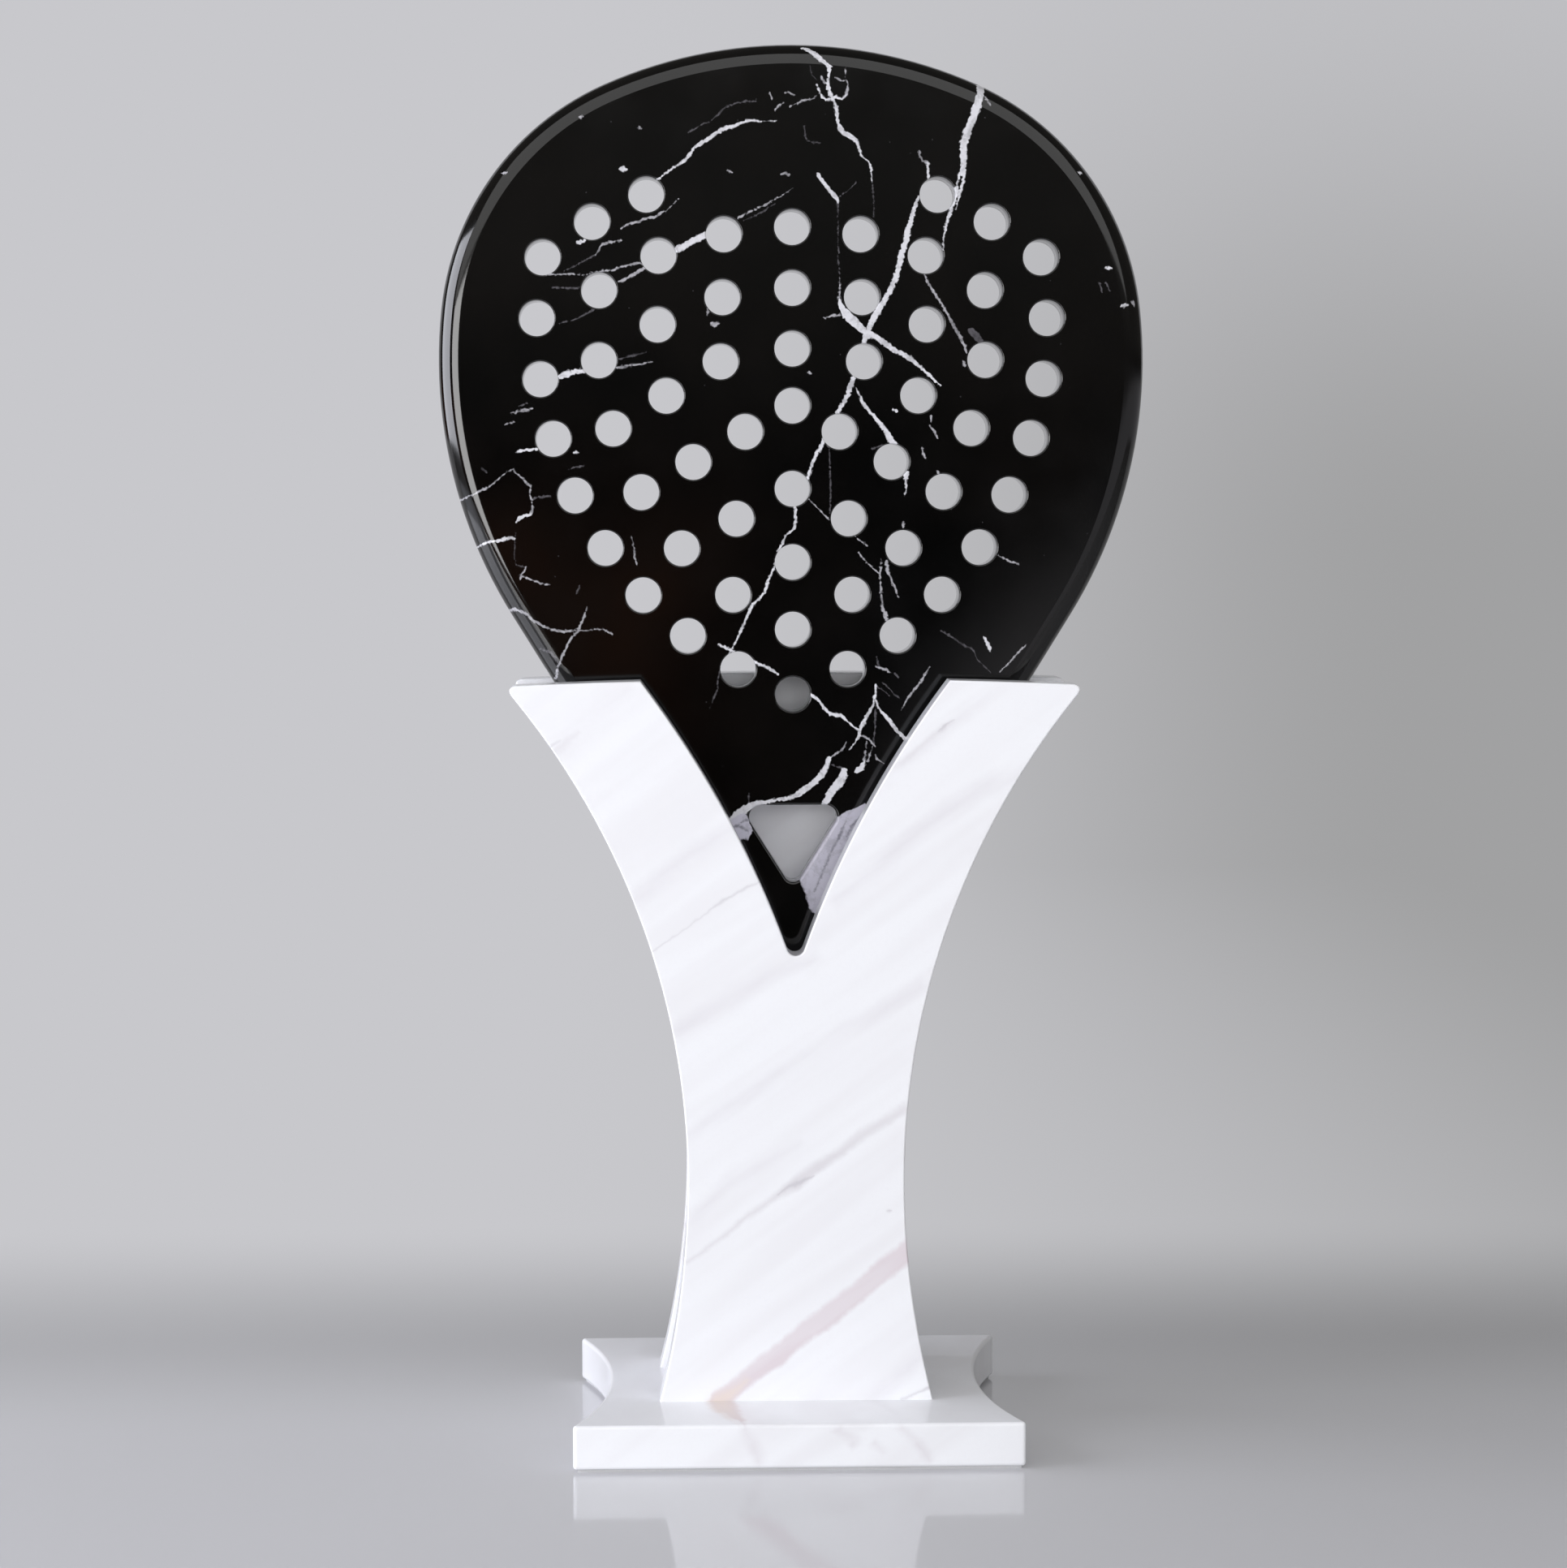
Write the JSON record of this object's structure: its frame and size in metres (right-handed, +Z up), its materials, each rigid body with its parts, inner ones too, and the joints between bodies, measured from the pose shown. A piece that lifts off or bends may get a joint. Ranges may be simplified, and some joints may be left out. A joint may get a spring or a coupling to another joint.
{
  "type": "racket display stand",
  "caption": "Life-size perforated padel racket in polished black marble, held upright in a slotted two-panel white marble stand on a concave-sided plinth.",
  "frame": {"origin": "on the floor, under the middle of the stand", "axes": "+Z up, +X to the right of someone who looks at the notched front panel, -Y towards them"},
  "size_m": [0.2608, 0.144, 0.5147],
  "materials": {
    "black_marble": "polished, with white veins",
    "white_marble": "polished, with soft grey veins",
    "felt": "matt felt, pale grey",
    "steel": "turned",
    "brass": "turned"
  },
  "bodies": {
    "stand": {"base_plinth": "white_marble", "front_panel": "white_marble", "rear_panel": "white_marble", "spacer_block": "white_marble", "floor_felt": "felt", "seat_felt": "felt", "front_slot_liner": "felt", "rear_slot_liner": "felt", "panel_pins": "steel", "cross_pins": "steel", "anchor_screws": "steel", "threaded_inserts": "brass"},
    "racket": {"racket_blade": "black_marble", "front_handle_cheek": "black_marble", "rear_handle_cheek": "black_marble", "handle_pins": "steel"}
  },
  "joints": [
    {"name": "racket_lift", "type": "slide", "parent": "stand", "child": "racket", "axis": [0, 0, 1], "range_m": [0, 0.24]}
  ]
}
